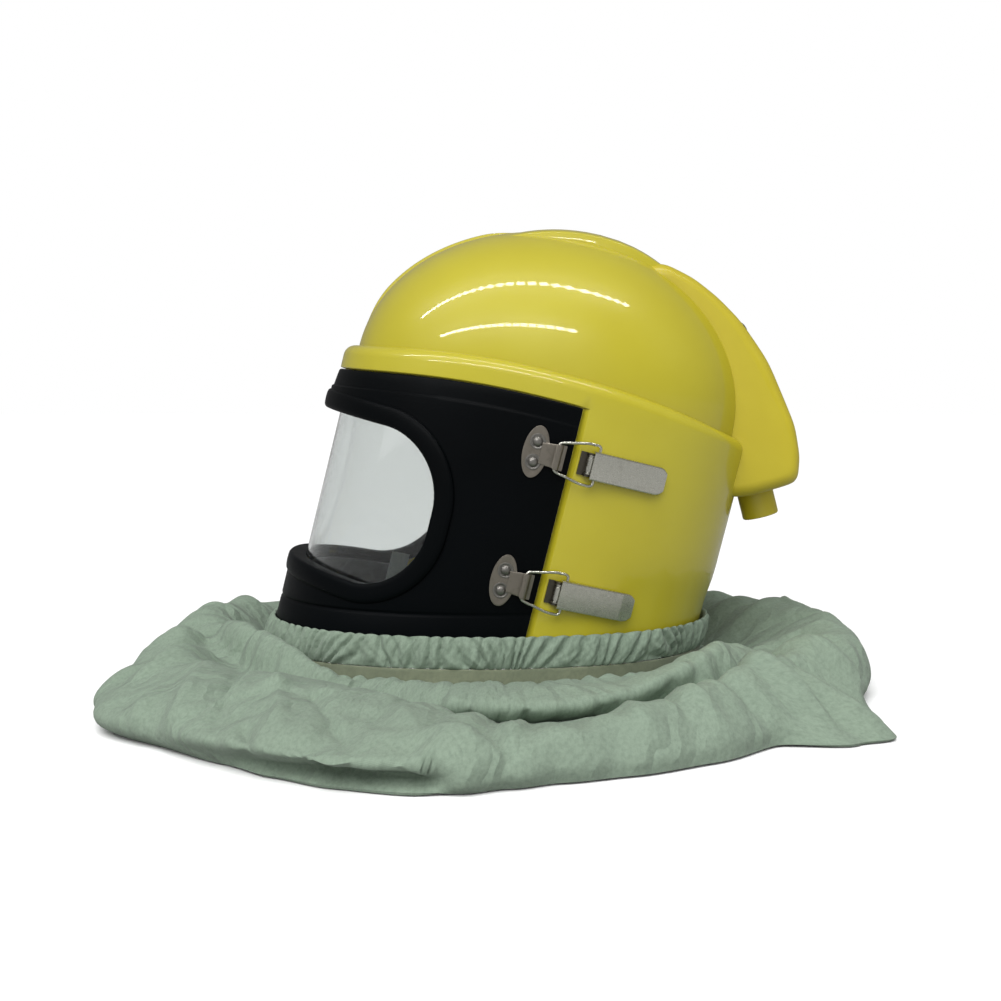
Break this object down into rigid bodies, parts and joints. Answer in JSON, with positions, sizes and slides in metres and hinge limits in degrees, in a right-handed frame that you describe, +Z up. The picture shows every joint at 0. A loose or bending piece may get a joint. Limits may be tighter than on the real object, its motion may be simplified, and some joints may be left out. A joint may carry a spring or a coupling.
{
  "type": "sandblasting hood",
  "caption": "Yellow blast helmet with black visor frame, clear lens, draw latches and rear air housing, standing on its gathered green cloth cape.",
  "frame": {"origin": "middle of the footprint of the spread cape, on the floor", "axes": "+Z up, face and visor towards -Y, wearer's left towards +X"},
  "size_m": [0.631, 0.6064, 0.3513],
  "materials": {
    "yellow_gloss": "glossy moulded plastic",
    "yellow_satin": "satin moulded plastic",
    "black_plastic": "fine matte black plastic",
    "clear_lens": "clear polished sheet",
    "dark_foam": "open foam",
    "grey_webbing": "woven webbing",
    "grey_steel": "dull steel",
    "latch_steel": "satin stainless steel",
    "green_cloth": "twill cotton",
    "olive_tape": "satin binding"
  },
  "bodies": {
    "root": {"shell": "yellow_gloss", "visor_frame": "black_plastic", "visor_lens": "clear_lens", "chin_liner": "dark_foam", "chin_strap": "grey_webbing", "air_housing": "yellow_satin", "air_pipe": "yellow_satin", "housing_bolt": "grey_steel", "elastic_band": "green_cloth", "binding_tape": "olive_tape", "cape": "green_cloth", "catch_plate_left_upper": "latch_steel", "catch_rivet_left_upper_a": "latch_steel", "catch_rivet_left_upper_b": "latch_steel", "latch_base_left_upper": "latch_steel", "catch_plate_left_lower": "latch_steel", "catch_rivet_left_lower_a": "latch_steel", "catch_rivet_left_lower_b": "latch_steel", "latch_base_left_lower": "latch_steel", "catch_plate_right_upper": "latch_steel", "catch_rivet_right_upper_a": "latch_steel", "catch_rivet_right_upper_b": "latch_steel", "latch_base_right_upper": "latch_steel", "catch_plate_right_lower": "latch_steel", "catch_rivet_right_lower_a": "latch_steel", "catch_rivet_right_lower_b": "latch_steel", "latch_base_right_lower": "latch_steel"},
    "lever_left_upper": {"lever_left_upper": "latch_steel"},
    "bail_left_upper": {"bail_left_upper": "latch_steel"},
    "lever_left_lower": {"lever_left_lower": "latch_steel"},
    "bail_left_lower": {"bail_left_lower": "latch_steel"},
    "lever_right_upper": {"lever_right_upper": "latch_steel"},
    "bail_right_upper": {"bail_right_upper": "latch_steel"},
    "lever_right_lower": {"lever_right_lower": "latch_steel"},
    "bail_right_lower": {"bail_right_lower": "latch_steel"}
  },
  "joints": [
    {"name": "lever_pivot_left_upper", "type": "hinge", "parent": "root", "child": "lever_left_upper", "pos_m": [0.11746, 0.0696, 0.17614], "axis": [0, 0.2419, 0.9703], "range_deg": [-120, 0]},
    {"name": "bail_pivot_left_upper", "type": "hinge", "parent": "lever_left_upper", "child": "bail_left_upper", "pos_m": [0.1168, 0.0744, 0.17494], "axis": [0, 0.2419, 0.9703], "range_deg": [0, 110.4]},
    {"name": "lever_pivot_left_lower", "type": "hinge", "parent": "root", "child": "lever_left_lower", "pos_m": [0.11746, 0.04722, 0.08638], "axis": [0, 0.2419, 0.9703], "range_deg": [-120, 0]},
    {"name": "bail_pivot_left_lower", "type": "hinge", "parent": "lever_left_lower", "child": "bail_left_lower", "pos_m": [0.1168, 0.05203, 0.08518], "axis": [0, 0.2419, 0.9703], "range_deg": [0, 110.4]},
    {"name": "lever_pivot_right_upper", "type": "hinge", "parent": "root", "child": "lever_right_upper", "pos_m": [-0.13913, 0.0696, 0.17614], "axis": [0, -0.2419, -0.9703], "range_deg": [-120, 0]},
    {"name": "bail_pivot_right_upper", "type": "hinge", "parent": "lever_right_upper", "child": "bail_right_upper", "pos_m": [-0.13847, 0.0744, 0.17494], "axis": [0, -0.2419, -0.9703], "range_deg": [0, 110.4]},
    {"name": "lever_pivot_right_lower", "type": "hinge", "parent": "root", "child": "lever_right_lower", "pos_m": [-0.13913, 0.04722, 0.08638], "axis": [0, -0.2419, -0.9703], "range_deg": [-120, 0]},
    {"name": "bail_pivot_right_lower", "type": "hinge", "parent": "lever_right_lower", "child": "bail_right_lower", "pos_m": [-0.13847, 0.05203, 0.08518], "axis": [0, -0.2419, -0.9703], "range_deg": [0, 110.4]}
  ],
  "couplings": [
    {"joint": "bail_pivot_left_upper", "follows": "lever_pivot_left_upper", "ratio": -0.92},
    {"joint": "bail_pivot_left_lower", "follows": "lever_pivot_left_lower", "ratio": -0.92},
    {"joint": "bail_pivot_right_upper", "follows": "lever_pivot_right_upper", "ratio": -0.92},
    {"joint": "bail_pivot_right_lower", "follows": "lever_pivot_right_lower", "ratio": -0.92}
  ]
}
